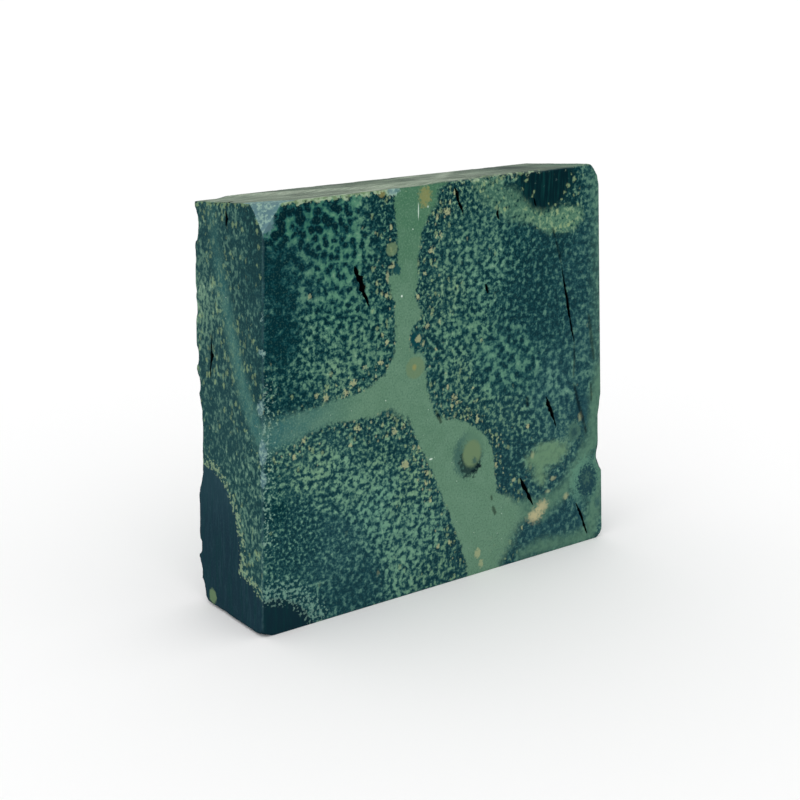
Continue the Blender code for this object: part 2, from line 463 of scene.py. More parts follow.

# %% [markdown]
# ## Cracks
# A few cracks stand open. Each is a wedge with broken lips, some twice as wide as others, and its inside is
# painted black as shade. A picture of a crack would look painted from the side, so the wedges are cut: a
# closed, jagged blade along each crack, taken off by one Boolean. First the net is laid flat across the
# mouth, because it was drawn down into the solid's wedges.

# %% Crack places
# Each crack is a row of places on a side, each with the crack's width there, and then the greatest depth.
FRONT_CRACKS = (
    (((-21.8, 67.8, 1.3), (-21.4, 66.6, 1.7), (-21.2, 65.9, 0.7), (-20.6, 65.2, 1.5), (-20.3, 64.3, 0.9),
      (-20.1, 63.3, 1.7), (-19.9, 62.6, 0.7), (-19.2, 61.4, 1.1), (-18.6, 59.7, 0.7)), 1.2),
    (((1.2, 80.2, 0.8), (1.9, 78.9, 0.9), (2.3, 77.1, 0.6), (3.0, 76.0, 0.8), (3.5, 74.3, 0.5)), 0.8),
    (((28.9, 62.4, 0.4), (29.9, 58.6, 0.6), (31.0, 54.2, 0.75), (32.0, 50.0, 0.6), (33.7, 43.8, 0.5)), 0.7),
    (((25.9, 34.8, 0.8), (26.5, 33.2, 1.3), (27.6, 31.0, 0.9), (29.1, 27.4, 0.6)), 0.8),
    (((19.3, 18.4, 0.9), (20.4, 16.4, 1.1), (21.6, 14.4, 0.9), (23.2, 11.3, 1.1)), 0.9),
    (((35.3, 9.4, 0.6), (36.8, 6.6, 0.8), (37.8, 4.3, 0.8), (39.1, 1.2, 0.7)), 0.9),
    (((12.1, 74.9, 0.6), (12.0, 73.9, 0.6), (12.4, 72.6, 0.6)), 0.5),
    (((21.2, 76.2, 0.7), (21.5, 75.2, 0.6), (21.9, 74.2, 0.5)), 0.5),
    (((9.2, 60.6, 0.7), (9.6, 59.5, 0.8), (10.0, 58.3, 0.6)), 0.5),
)
LEFT_CRACKS = (
    (((12.5, 78.3, 0.9), (12.2, 76.6, 1.0), (12.5, 75.0, 0.7)), 0.9),
    (((17.7, 54.2, 0.9), (18.1, 52.0, 0.7), (17.8, 50.4, 1.2), (18.3, 48.3, 0.7), (18.6, 45.6, 0.7)), 1.1),
)
CRACK_STEP = 0.3
MOUTH_RISE = 0.4
RAGGED = 0.8
LIP_LUMP = 0.8
LIP_SEEDS = (3.7, 9.1)
LEAST_LIP = 0.01
END_FULLNESS = 0.45
FLOOR_WANDER = 0.6
END_DEPTH = 0.35


def along(route, step):
    """Places along a route at an even step, and the share of its length at each."""
    route = np.array(route, float)
    lengths = np.concatenate(([0], np.cumsum(np.linalg.norm(np.diff(route, axis=0), axis=1))))
    at = np.linspace(0, lengths[-1], max(4, round(lengths[-1] / step)))
    return np.stack([np.interp(at, lengths, column) for column in route.T], axis=1), at / lengths[-1]


def face_place(pair, side):
    """A pair of face coordinates as a place on that side's flat."""
    first, height = pair
    place = np.array([(first, 0.0, height)] if side == FRONT else [(planes[LEFT][1] * -1, first, height)])
    return on_flat(place, side)[0]


def add_blade(shape, crack, side, seed):
    """Adds a closed wedge along one crack to a bmesh. Its lips wander, and its ends run out to points."""
    route, depth = crack
    spots, shares = along(route, CRACK_STEP)
    spots, widths = spots[:, :2], spots[:, 2]
    heading = spots[-1] - spots[0]
    across = np.array((heading[1], -heading[0])) / np.linalg.norm(heading)
    flat_spots = np.column_stack([spots, np.full(len(spots), seed)])
    left_wander, right_wander = (lumps(flat_spots, LIP_LUMP, seed + k) for k in LIP_SEEDS)
    swell = np.maximum(np.sin(np.pi * shares), 0) ** END_FULLNESS
    half = widths / 2 * swell
    normal = planes[side][0]
    rings = []
    for k, spot in enumerate(spots):
        mouth = half[k] * (depth + MOUTH_RISE) / depth
        low_lip = spot - across * (mouth * (1 + RAGGED * left_wander[k]) + LEAST_LIP)
        high_lip = spot + across * (mouth * (1 + RAGGED * right_wander[k]) + LEAST_LIP)
        floor_spot = spot + across * half[k] * left_wander[k] * FLOOR_WANDER
        bottom = face_place(floor_spot, side) - normal * depth * (END_DEPTH + (1 - END_DEPTH) * swell[k])
        lips = [face_place(lip, side) + normal * MOUTH_RISE for lip in (low_lip, high_lip)]
        rings.append([shape.verts.new(off_ruler(place)) for place in (*lips, bottom)])
    for here, there in zip(rings, rings[1:]):
        for k in range(3):
            shape.faces.new((here[k], here[k - 1], there[k - 1], there[k]))
    shape.faces.new(rings[0])
    shape.faces.new(reversed(rings[-1]))


def to_segment(flat, start, end):
    """The share of a straight step at which each flat place is nearest to it, and the gap from there."""
    step = np.subtract(end, start)
    share = np.clip((flat - start) @ step / (step @ step), 0, 1)
    return share, flat - start - share[:, None] * step


def route_distance(flat, routes):
    """Distance from each flat place to the nearest of some routes."""
    nearest = np.full(len(flat), np.inf)
    for route in routes:
        for start, end in zip(route, route[1:]):
            share, gap = to_segment(flat, start, end)
            nearest = np.minimum(nearest, np.linalg.norm(gap, axis=1))
    return nearest


def crack_distance(places, side):
    cracks, axes = (FRONT_CRACKS, (0, 2)) if side == FRONT else (LEFT_CRACKS, (1, 2))
    return route_distance(places[:, axes], [np.array(route)[:, :2] for route, depth in cracks])


print(len(FRONT_CRACKS), "cracks on the front,", len(LEFT_CRACKS), "on the left side")

# %% Lay the net flat across the mouths
MOUTH_REACH = 1.3
MOUTH_DEPTH = 1.4
LEAST_SHARE = 0.1

for side in (FRONT, LEFT):
    drawn_in = under(net, side)
    mouth = (crack_distance(net, side) < MOUTH_REACH) & (drawn_in < MOUTH_DEPTH)
    mouth &= share_of_side(net, side) > LEAST_SHARE
    net[mouth] = on_flat(net[mouth], side)
    print("laid flat", int(mouth.sum()), "points")
move_points(stone, net)

# %% [markdown]
# ## What the saw and the hammer left
# The polished face is smooth, but the blade left shallow grooves on the other sides, and each spall is a
# rough break. Both follow a rule, so a second tree makes them: it pushes every point a little inwards, by
# grooves where a point is marked as sawn and by lumps where it is marked as broken. Nothing moves outwards,
# so the slab stays in the solid's box.

# %% Grooves and breaks
GROOVE_DEPTH = 0.07
GROOVE_PITCH = 1.1
BREAK_DEPTH = 0.32
BREAK_SIZE = 1.5
NICK_DEPTH = 0.4
NICK_SIZE = 3.0
RELIEF_SEED = 7.0


def relief_tree(material):
    """The tree that presses grooves, breaks and nicks into the net."""
    labels = ("Groove Depth", "Groove Pitch", "Break Depth", "Break Size", "Nick Depth", "Nick Size", "Seed")
    tree, wires, keys = tree_with_inputs("saw and hammer", {label: "NodeSocketFloat" for label in labels})
    mesh = wires["Geometry"]

    def marked(name):
        return mesh.node("GeometryNodeInputNamedAttribute", {"data_type": "FLOAT"}, {"Name": name})

    place = mesh.node("GeometryNodeInputPosition").scaled(1 / MM)

    def lump(size, stretch, seed_step):
        values = {"Vector": place.stretched(stretch), "W": wires["Seed"] + seed_step}
        values.update({"Scale": 1 / size, "Detail": 3.0})
        return mesh.node("ShaderNodeTexNoise", {"noise_dimensions": "4D"}, values)

    along_x = lump(wires["Groove Pitch"], (0.04, 1.0, 0.3), 0.0)
    along_z = lump(wires["Groove Pitch"], (0.5, 1.0, 0.06), 1.0)
    grooves = marked("top_cut") * along_x + marked("side_cut") * along_z
    breaks = lump(wires["Break Size"], (1.0, 1.0, 1.0), 2.0) * marked("broken")
    nicks = lump(wires["Nick Size"], (1.0, 1.0, 1.0), 3.0).rise(0.5, 0.75) * marked("arris")
    depth = grooves * wires["Groove Depth"] + breaks * wires["Break Depth"] + nicks * wires["Nick Depth"]
    inward = mesh.node("GeometryNodeInputNormal").scaled(depth * -MM)
    pressed = mesh.node("GeometryNodeSetPosition", None, {"Geometry": mesh, "Offset": inward})
    close_tree(tree, pressed, material)
    return tree, keys


# The edges that are nicked, each as the two sides that meet there.
ARRISES = ((FRONT, LEFT), (FRONT, TOP), (BACK, LEFT), (BACK, RIGHT), (BACK, TOP), (LEFT, TOP), (RIGHT, TOP),
           (LEFT, FOOT), (RIGHT, FOOT), (BACK, FOOT))
OUT_OF_REACH = 9

on_front, on_top, on_left = (share_of_side(net, side) for side in (FRONT, TOP, LEFT))
near_crack = np.minimum(crack_distance(net, FRONT), crack_distance(net, LEFT) + OUT_OF_REACH * (1 - on_left))
nearest_edge = np.min([edge_distance(net, first, second) for first, second in ARRISES], axis=0)
broken = soft_step(depth_below(net), FLAT_DEPTH, 0.6) * (1 - on_front)
store(stone, "broken", broken * soft_step(near_crack, 1.0, 1.6))
store(stone, "top_cut", on_top)
store(stone, "side_cut", 1 - np.maximum(on_front, on_top))
store(stone, "arris", soft_step(nearest_edge, 1.3, 0.2) * (1 - 0.7 * on_front))
tree, keys = relief_tree(jasper)
run_tree(stone, tree, keys, {
    "Groove Depth": GROOVE_DEPTH, "Groove Pitch": GROOVE_PITCH, "Break Depth": BREAK_DEPTH,
    "Break Size": BREAK_SIZE, "Nick Depth": NICK_DEPTH, "Nick Size": NICK_SIZE, "Seed": RELIEF_SEED,
})

# %% Cut the cracks
SEED_STEP = 1.3

blades = bmesh.new()
for side, cracks, first_seed in ((FRONT, FRONT_CRACKS, 0), (LEFT, LEFT_CRACKS, 20)):
    for count, crack in enumerate(cracks):
        add_blade(blades, crack, side, first_seed + SEED_STEP * count)
bmesh.ops.recalc_face_normals(blades, faces=blades.faces)
blade_mesh = bpy.data.meshes.new("crack blades")
blade_mesh.materials.append(jasper)
blades.to_mesh(blade_mesh)
blades.free()
blade_object = bpy.data.objects.new("crack_blades", blade_mesh)
bpy.context.scene.collection.objects.link(blade_object)

cut = stone.modifiers.new("open cracks", "BOOLEAN")
cut.operation = "DIFFERENCE"
cut.solver = "EXACT"
cut.object = blade_object
keep_evaluated(stone)
bpy.data.objects.remove(blade_object)
for name in ("broken", "top_cut", "side_cut", "arris"):
    stone.data.attributes.remove(stone.data.attributes[name])

# Where a cut grazes the net it can leave a sliver folded shut, two faces on the same points. Both faces go.
shape = bmesh.new()
shape.from_mesh(stone.data)
faces_on = {}
for face in shape.faces:
    faces_on.setdefault(frozenset(face.verts), []).append(face)
folded = [face for faces in faces_on.values() if len(faces) > 1 for face in faces]
bmesh.ops.delete(shape, geom=folded, context="FACES")
print("folded faces", len(folded), "and open edges", sum(not edge.is_manifold for edge in shape.edges))
shape.to_mesh(stone.data)
shape.free()

# %% [markdown]
# ## A map of the pattern
# Kambaba jasper is fine green mottle with smooth mint veins and round orbs. The veins and orbs are sheets
# and balls that run through the stone, so they come out again, shifted, on the left side, the top and the
# back. The main vein is a closed outline on the polished face that drifts and climbs inwards, the smaller
# bands are rows of places with a half-width, and the orbs are ellipsoids. Numbers on the net's points say
# how far each point is inside one of them, and the material draws the borders from these numbers.

# %% Veins
# The vein's outline on the polished face: X and Z, down its left side, along the arm and back up its right
# side.
VEIN_OUTLINE = (
    (-13.8, 84), (-12.9, 80.5), (-12.7, 77), (-12.5, 74.7), (-12.2, 71), (-12, 68), (-12.1, 67),
    (-13.2, 65.6), (-14.3, 64.6), (-13.9, 62.6), (-12.9, 60.6), (-12.6, 58), (-12.7, 56), (-12.7, 52),
    (-12.9, 50), (-13.6, 48), (-15, 46), (-17, 44.9), (-20, 43.9), (-24, 43.3), (-28.3, 42.6), (-32.5, 42.2),
    (-36.7, 42), (-40, 41.6), (-48, 40.6), (-48, 35.5), (-40, 35.8), (-36.7, 36.3), (-32.5, 37.6),
    (-28.3, 38.8), (-24, 38.6), (-20, 38.4), (-18, 38), (-15.5, 39.2), (-13.5, 38.6), (-12, 37.6),
    (-10.3, 36.6), (-9, 35.5), (-6.3, 29.7), (-3.3, 23.8), (-0.8, 18), (1.7, 12.2), (3.5, 8), (5.2, 2.7),
    (6.2, -3), (13, -3), (14.5, 0.5), (16.5, 3.2), (18.5, 7), (20.2, 10), (19.2, 12), (17, 14.6),
    (13.4, 16.6), (12.5, 19), (12.4, 21.5), (12.2, 24.5), (11.7, 26.3), (10.6, 28.2), (9.2, 29.7),
    (7.2, 31.6), (5, 33), (2, 34.2), (-1, 34.8), (-2.6, 35.6), (-3.3, 37), (-4, 39), (-5, 41.3),
    (-5.4, 44.5), (-5.5, 47.5), (-6.6, 49), (-8.3, 49.6), (-9.2, 50.5), (-9.1, 53), (-8.6, 54.5),
    (-6.8, 55.8), (-6.4, 57), (-7.4, 58.6), (-8, 60), (-7.5, 62), (-7.2, 65), (-7.3, 68), (-6.6, 71.5),
    (-5.4, 74.7), (-3.9, 76.2), (-3.3, 77), (-2.7, 79), (-2.2, 80.5), (-0.6, 81.3), (0, 84),
)
VEIN_DRIFT = 0.1
# How soft the vein's border is: centre, reach, and the millimetres that it adds to the plain softness.
PLAIN_SOFTNESS = 0.3
SOFT_PLACES = (
    ((-44, 0, 40), 12, 1.4), ((-44, 14, 62), 15, 3), ((19, 0, 8), 6, 2.2), ((15, 0, 1), 5, 1.2),
    ((-3, 0, 79), 3, 0.5), ((-13, 0, 38), 3.5, 0.9), ((-42, 5, 46), 7, 0.8),
)
# Softer bands and patches, as rows of X, Z and half-width.
BAND = (
    (15, 9.8, 2.5), (20.5, 11, 2.3), (25, 10, 2.4), (29.5, 11.8, 1.9), (33, 13.9, 1.7), (34.6, 17, 1.6),
    (37, 19.6, 1.8), (39.8, 22.5, 1.9), (40.2, 28, 1.9), (40.2, 33, 1.8), (41.4, 38, 1.4),
)
CORNER_BAND = (
    (42, 19, 1.2), (42.2, 12, 1.2), (41, 6.5, 2.4), (39.5, 1.2, 1.6), (33, 0.9, 1.5), (26, 1.7, 1.6),
    (20.5, 1.2, 1.1),
)
PATCH = (
    (22.6, 21.6, 1.6), (25.4, 21.8, 2.9), (28.6, 21.9, 2.6), (31.0, 22.4, 1.5),
)
PATCH_TAIL = ((25.4, 20.5, 1.6), (24.6, 18.6, 1.5), (25.6, 16.8, 1.0))
FROST = (
    (7.5, 80.2, 1.6), (11, 78, 2.6), (14.5, 75.8, 3), (18.5, 73.9, 2.2), (22.5, 72.6, 1.9), (26, 71.3, 2.4),
    (30, 71.1, 2.5), (32.6, 71.3, 1.9),
)
# The left arm spreads from a height, by a share for each millimetre inwards. Strands get thinner inwards.
ARM_HEIGHT = 38.8
ARM_SPREAD = 0.07
ARM_REACH = (-13.0, -40.0)
STRAND_TAPER = 0.3


def climb(inwards):
    """How far the left arm has risen at a depth into the stone."""
    return inwards * (0.72 + 0.083 * inwards)


def outline_depth(places, outline):
    """How far each place is inside a closed outline, in millimetres. It is below 0 outside."""
    x, y, z = places.T
    x = x - VEIN_DRIFT * y
    arm = soft_step(x, *ARM_REACH)
    z = ARM_HEIGHT + (z - climb(y) * arm - ARM_HEIGHT) / (1 + ARM_SPREAD * np.maximum(y, 0) * arm)
    closed = outline + outline[:1]
    nearest = route_distance(np.column_stack([x, z]), [closed])
    inside = np.zeros(len(places), bool)
    for (x0, z0), (x1, z1) in zip(closed, closed[1:]):
        if z0 != z1:
            crossing = x0 + (z - z0) / (z1 - z0) * (x1 - x0)
            inside ^= ((z0 > z) != (z1 > z)) & (x < crossing)
    return np.where(inside, nearest, -nearest)


def strand_depth(places, *strands):
    """How far each place is inside strands of X, Z and half-width, in millimetres. It is below 0 outside."""
    deepest = np.full(len(places), -np.inf)
    for strand in strands:
        for start, end in zip(strand, strand[1:]):
            share, gap = to_segment(places[:, (0, 2)], start[:2], end[:2])
            half = start[2] + share * (end[2] - start[2])
            deepest = np.maximum(deepest, half - np.linalg.norm(gap, axis=1))
    return deepest - np.maximum(places[:, 1], 0) * STRAND_TAPER


print("main vein of", len(VEIN_OUTLINE), "places, band of", len(BAND + CORNER_BAND))

# %% Orbs
# Centre, radii in X, Y and Z, and how much of a pale rim it has. The first two are one large slate orb.
ORBS = (
    ((-44, 20, 13), (14, 12.3, 15.3), 1), ((-42, 8, -6), (13.6, 14, 16), 1),
    ((24.3, 1, 83.4), (7.8, 8, 10.2), 0), ((17, 27, 34), (16, 12, 13), 0.8), ((46, 16, 60), (7, 9, 11), 0.8),
)


def ball_depth(places, centre, radii):
    """About how far each place is inside an ellipsoid, in millimetres."""
    offsets = (places - np.array(centre)) / radii
    share = np.linalg.norm(offsets, axis=1)
    slope = np.linalg.norm(offsets / radii, axis=1) + 1e-6
    return share * (1 - share) / slope


print(len(ORBS), "orbs")

# %% [markdown]
# ### The ground between the veins
# Between the veins the mottle changes from place to place: here it is open and dark, there it is dense and
# pale, or the dark stands in round blots. A short list of places holds these moods, and every point of the
# net takes a blend of the nearest ones. They lie in the stone, so the unseen sides change in the same way.

# %% Moods of the ground
# X, Y, Z, reach, then in percent: light (share of mottle), bright (its strength), fine (small grain), round
# (dark blots), warm (yellow and tan) and deep (how dark and blue the ground is).
MOODS = (
    (-38, 0, 77, 4, 8, 70, 10, 100, 10, 100), (-31, 0, 76, 5, 17, 70, 10, 100, 10, 100),
    (-23, 0, 78, 4, 30, 90, 30, 80, 30, 100), (-16, 0, 77, 4, 32, 90, 80, 20, 50, 100),
    (-39.5, 0, 67, 3.5, 8, 50, 20, 0, 0, 100), (-39.5, 0, 56, 3.5, 10, 50, 20, 0, 0, 100),
    (-32, 0, 66, 4, 40, 80, 20, 30, 20, 90), (-26, 0, 71, 5, 48, 90, 20, 70, 20, 100),
    (-25, 0, 60, 5, 48, 95, 30, 50, 20, 100), (-31, 0, 52, 5, 44, 85, 40, 10, 30, 100),
    (-20, 0, 52, 5, 50, 90, 50, 20, 50, 100), (-27, 0, 47, 3, 55, 90, 50, 10, 80, 90),
    (-17, 0, 65, 3, 38, 90, 70, 10, 50, 100), (-38, 0, 47, 4, 30, 70, 50, 0, 30, 100),
    (-32, 0, 31, 5, 50, 100, 50, 10, 70, 70), (-22, 0, 28, 5, 50, 100, 50, 10, 40, 70),
    (-15, 0, 33, 4, 40, 95, 60, 20, 80, 80), (-9, 0, 24, 4, 48, 100, 50, 20, 90, 70),
    (-17, 0, 18, 5, 53, 100, 35, 20, 10, 60), (-8, 0, 10, 5, 52, 100, 30, 20, 30, 60),
    (-36, 0, 18, 5, 28, 85, 90, 0, 10, 70), (-27, 0, 14, 5, 38, 70, 70, 10, 10, 40),
    (-22, 0, 5, 4, 26, 60, 60, 10, 10, 45), (-41, 0, 24, 3, 22, 90, 90, 0, 10, 100),
    (0, 0, 4, 4, 38, 85, 40, 30, 90, 60), (3, 0, 76, 4, 36, 90, 80, 10, 90, 100),
    (8, 0, 70, 5, 48, 85, 60, 10, 30, 90), (8, 0, 62, 5, 48, 90, 50, 10, 10, 90),
    (0, 0, 60, 4, 44, 90, 60, 10, 90, 90), (5, 0, 52, 5, 48, 90, 30, 30, 50, 90),
    (18, 0, 66, 4, 32, 65, 50, 10, 10, 90), (21, 0, 58, 5, 22, 55, 40, 0, 10, 80),
    (26, 0, 50, 5, 28, 55, 30, 10, 10, 70), (34, 0, 62, 5, 34, 45, 30, 0, 20, 60),
    (39, 0, 66, 3, 52, 50, 30, 0, 20, 60), (37, 0, 77, 3, 60, 55, 30, 0, 20, 80),
    (15, 0, 45, 6, 46, 90, 0, 40, 10, 80), (28, 0, 38, 5, 46, 70, 10, 20, 10, 40),
    (17, 0, 31, 4, 36, 75, 60, 10, 80, 60), (32, 0, 28, 4, 42, 65, 20, 20, 40, 30),
    (3, 0, 42, 3, 40, 85, 60, 10, 100, 80), (7, 0, 37, 3, 38, 85, 60, 10, 100, 80),
    (18, 0, 22, 4, 26, 65, 40, 10, 30, 50), (20, 0, 15, 3, 30, 65, 30, 20, 50, 40),
    (32, 0, 18, 3, 32, 65, 30, 20, 40, 30), (26, 0, 5.5, 4, 30, 42, 20, 20, 20, 20),
    (37, 0, 45, 4, 42, 55, 20, 10, 20, 40), (37, 0, 28, 3, 16, 50, 20, 10, 20, 30),
    (17.8, 0, 79, 2.5, 10, 100, 40, 10, 80, 100), (31, 0, 77, 3, 14, 90, 30, 10, 100, 100),
    (26, 0, 66, 3, 22, 55, 40, 0, 10, 80), (-43, 2, 65, 3, 42, 60, 50, 0, 30, 80),
    (-43, 8, 70, 4, 42, 70, 30, 10, 80, 90), (-43, 7, 55, 4, 32, 65, 30, 10, 70, 70),
    (-43, 19, 70, 4, 40, 70, 40, 0, 80, 70), (-43, 20, 60, 4, 70, 95, 30, 0, 100, 50),
    (-43, 17, 47, 5, 42, 70, 50, 0, 70, 70), (-43, 12, 40, 5, 40, 65, 70, 0, 60, 60),
    (-43, 4, 30, 4, 48, 85, 70, 0, 30, 90), (-43, 3, 18, 4, 50, 85, 60, 0, 50, 80),
    (-43, 21, 34, 4, 34, 60, 80, 0, 60, 70), (-25, 24, 20, 9, 46, 80, 20, 50, 40, 60),
    (0, 24, 60, 9, 48, 80, 30, 20, 40, 70), (25, 24, 70, 9, 36, 70, 40, 30, 30, 80),
    (30, 24, 12, 9, 50, 80, 20, 40, 40, 50), (-25, 24, 62, 9, 42, 80, 50, 20, 50, 80),
    (42, 12, 40, 7, 44, 70, 30, 20, 40, 60),
)
MOOD_NAMES = ("light", "bright", "fine", "round", "warm", "deep")
MOOD_CORE = 0.15
MOOD_WANDER = 3.6
MOOD_LUMP = 7.0
MOOD_SEEDS = (11.3, 27.9, 43.1)


def moods_at(places):
    """The blend of moods at each place, one column for each name in MOOD_NAMES."""
    wander = np.column_stack([lumps(places, MOOD_LUMP, seed) for seed in MOOD_SEEDS])
    places = places + MOOD_WANDER * wander
    total = np.zeros(len(places))
    blend = np.zeros((len(places), len(MOOD_NAMES)))
    for x, y, z, reach, *percent in MOODS:
        gap = ((places - (x, y, z)) ** 2).sum(axis=1) / reach**2
        weight = (MOOD_CORE + gap) ** -2
        total += weight
        blend += weight[:, None] * (np.array(percent) / 100)
    return blend / total[:, None]


print(len(MOODS), "moods")

# %% Hairlines
# Cracks that are too fine to stand open: places on the polished face, then the width at the middle.
HAIRLINES = (
    (((33.4, 36.6), (35.2, 31.3), (36.6, 28), (37.8, 24.2)), 0.6),
    (((37.1, 50.8), (38.3, 44.7), (39.2, 40.2)), 0.7), (((27.2, 67.4), (28.2, 64.8), (29, 62)), 0.4),
    (((20.6, 35.8), (21, 33.2)), 0.6), (((-3, 37.2), (-1.4, 33.9)), 0.6),
    (((11.6, 16.4), (11.9, 14.8)), 0.35), (((12.1, 13.8), (12.3, 12.9), (12.8, 12.4), (12.7, 11.6)), 0.6),
    (((38.4, 36), (38.9, 31)), 0.4), (((26.3, 70), (27.4, 66.9)), 0.35),
    (((33.2, 44.9), (33.6, 41.5), (33.4, 36.8)), 0.35),
)
HAIRLINE_DEPTH = 6.0
HAIRLINE_STEP = 0.5
HAIRLINE_REACH = 3.0


def hairlines_at(places):
    """The signed distance to the nearest hairline, and half of that hairline's width there."""
    flat = places[:, (0, 2)]
    nearest = np.full(len(places), np.inf)
    offset = np.full(len(places), HAIRLINE_REACH)
    half = np.zeros(len(places))
    for route, width in HAIRLINES:
        spots, shares = along(route, HAIRLINE_STEP)
        for k, (start, end) in enumerate(zip(spots, spots[1:])):
            step = end - start
            share, gap = to_segment(flat, start, end)
            distance = np.linalg.norm(gap, axis=1)
            closer = distance < nearest
            nearest[closer] = distance[closer]
            turn = np.sign(step[0] * gap[:, 1] - step[1] * gap[:, 0])
            offset[closer] = (turn * distance)[closer]
            at = shares[k] + share * (shares[k + 1] - shares[k])
            half[closer] = (width / 2 * np.sin(np.pi * at) ** 0.5)[closer]
    fade = soft_step(nearest, 2.0, 1.0) * soft_step(places[:, 1], HAIRLINE_DEPTH, HAIRLINE_DEPTH / 2)
    return np.clip(offset, -HAIRLINE_REACH, HAIRLINE_REACH), half * fade


print(len(HAIRLINES), "hairlines")

# %% Store the map on the net
# Pale bruises where the edges were knocked: centre, radii.
BRUISES = (
    ((-42.2, 0, 60.5), (0.9, 0.9, 1.9)), ((-42.4, 0.3, 54.3), (1.5, 1.2, 0.9)),
    ((-42.9, 0.6, 44.2), (1.5, 1.5, 2)), ((-42.6, 0.3, 36), (1.5, 1, 2.6)), ((-42.6, 0, 31), (1.2, 0.8, 2)),
    ((-13, 0, 80.7), (1.6, 0.9, 0.8)),
)
# The front top edge: X, and how pale and how wide the chipped line is there.
TOP_LINE = (
    (-42, 0.3), (-36, 0.8), (-24, 0.9), (-15, 0.7), (-12, 0.2), (3, 0.2), (6, 0.55), (20, 0.4), (26, 0.1),
    (41, 0.3),
)
# Bands along edges: the two sides that meet there, where the band ends and where it is full. The band on
# the front's right edge is a painted sheen.
EDGE_BANDS = {
    "left_line": (FRONT, LEFT, 0.9, 0.0), "left_zone": (FRONT, LEFT, 4.5, 0.0),
    "right_edge_sheen": (FRONT, RIGHT, 5.5, 1.0), "sill": (LEFT, TOP, 2.2, 0.0),
}
CHIP_REACH = (7.5, 6.0)
DEPTH_LIMIT = 12

places = points_of(stone)
balls = np.stack([ball_depth(places, centre, radii) for centre, radii, rim in ORBS])
depths = {
    "vein": outline_depth(places, VEIN_OUTLINE),
    "orb": balls.max(axis=0),
    "band": strand_depth(places, BAND, CORNER_BAND),
    "patch": strand_depth(places, PATCH, PATCH_TAIL),
    "frost": strand_depth(places, FROST),
}
for name, depth in depths.items():
    store(stone, name, np.clip(depth, -DEPTH_LIMIT, DEPTH_LIMIT))
store(stone, "orb_rim", np.array([rim for centre, radii, rim in ORBS])[balls.argmax(axis=0)])
softness = np.full(len(places), PLAIN_SOFTNESS)
for centre, reach, extra in SOFT_PLACES:
    softness += extra * np.exp(-np.sum((places - np.array(centre)) ** 2, axis=1) / reach**2)
store(stone, "softness", softness)
for name, column in zip(("hair_offset", "hair_half"), hairlines_at(places)):
    store(stone, name, column)
for name, column in zip(MOOD_NAMES, moods_at(places).T):
    store(stone, name, column)
store(stone, "front", share_of_side(places, FRONT))
store(stone, "top", share_of_side(places, TOP))
corner_gap = np.linalg.norm(places - corners[-1, -1, 1], axis=1)
store(stone, "chip", soft_step(depth_below(places), 0.04, 0.3) * soft_step(corner_gap, *CHIP_REACH))
store(stone, "bruise", np.max([soft_step(ball_depth(places, *ball), -0.7, 0.7) for ball in BRUISES], axis=0))
line_share = np.interp(places[:, 0], *np.array(TOP_LINE).T)
store(stone, "top_line", soft_step(edge_distance(places, FRONT, TOP), 1.8, 0.0) * line_share)
for name, (first, second, end, full) in EDGE_BANDS.items():
    store(stone, name, soft_step(edge_distance(places, first, second), end, full))
# Painted shade inside the cut cracks: a point in a crack's mouth keeps its depth, and the material paints it
# black.
crack_shade = np.zeros(len(places))
for side in (FRONT, LEFT):
    depth = under(places, side)
    own = (crack_distance(places, side) < MOUTH_REACH) & (depth > 0.03) & (depth < MOUTH_DEPTH)
    own &= under(places, TOP) > 0.2
    crack_shade[own] = np.maximum(crack_shade, depth)[own]
store(stone, "crack", crack_shade)
print("stored", sum(data.data_type == "FLOAT" for data in stone.data.attributes), "numbers for each point")

# %% [markdown]
# ## One material for the whole stone
# Borders and mottles are drawn by the material, because they are finer than the net. Noise through the
# stone makes the mottle, the stored moods set its density and colour, and the stored depths, roughened by
# more noise, cut the veins and orbs out of it.

# %% Colours
def paint(red, green, blue):
    """A colour as a screen shows it, from 0 to 255, made linear for the shader."""
    linear = []
    for part in (red / 255, green / 255, blue / 255):
        linear.append(part / 12.92 if part <= 0.04045 else ((part + 0.055) / 1.055) ** 2.4)
    return (*linear, 1.0)


DEEP_GROUND = paint(8, 61, 67)
DEEP_CORE = paint(0, 31, 38)
SLATE_GROUND = paint(38, 76, 83)
SLATE_CORE = paint(24, 57, 67)
BLOT_GREEN = paint(66, 122, 98)
SIDE_GROUND = paint(36, 68, 71)
PATCH_GREEN = paint(98, 132, 104)
GREEN_MOTTLE = paint(94, 138, 116)
MINT_MOTTLE = paint(112, 158, 142)
WARM_MOTTLE = paint(122, 158, 124)
SIDE_MOTTLE = paint(82, 115, 105)
FROST_GREEN = paint(80, 120, 98)
FROST_PALE = paint(126, 154, 119)
PALE_FLECK = paint(140, 170, 144)
TAN_SPECK = paint(160, 166, 126)
YELLOW_SPECK = paint(136, 160, 116)
STEM_GREEN = paint(66, 110, 83)
VEIN_GREEN = paint(88, 124, 101)
VEIN_PALE = paint(108, 143, 120)
VEIN_DEEP = paint(66, 102, 86)
ARM_TEAL = paint(50, 98, 99)
BAND_GREEN = paint(82, 119, 100)
OLIVE = paint(101, 125, 93)
OCHRE = paint(142, 138, 82)
CREAM = paint(182, 174, 134)
RING_TEAL = paint(44, 80, 80)
EYE_BLACK = paint(10, 30, 34)
SCRATCH_WHITE = paint(200, 220, 205)
SLATE_ORB = paint(24, 48, 59)
ORB_FIBRE = paint(10, 56, 56)
ORB_PALE = paint(38, 65, 74)
DARK_ORB = paint(2, 30, 36)
RIM_GREEN = paint(130, 154, 122)
RIM_PALE = paint(116, 152, 138)
BRUISE_GREY = paint(92, 124, 130)
BRUISE_PALE = paint(150, 182, 166)
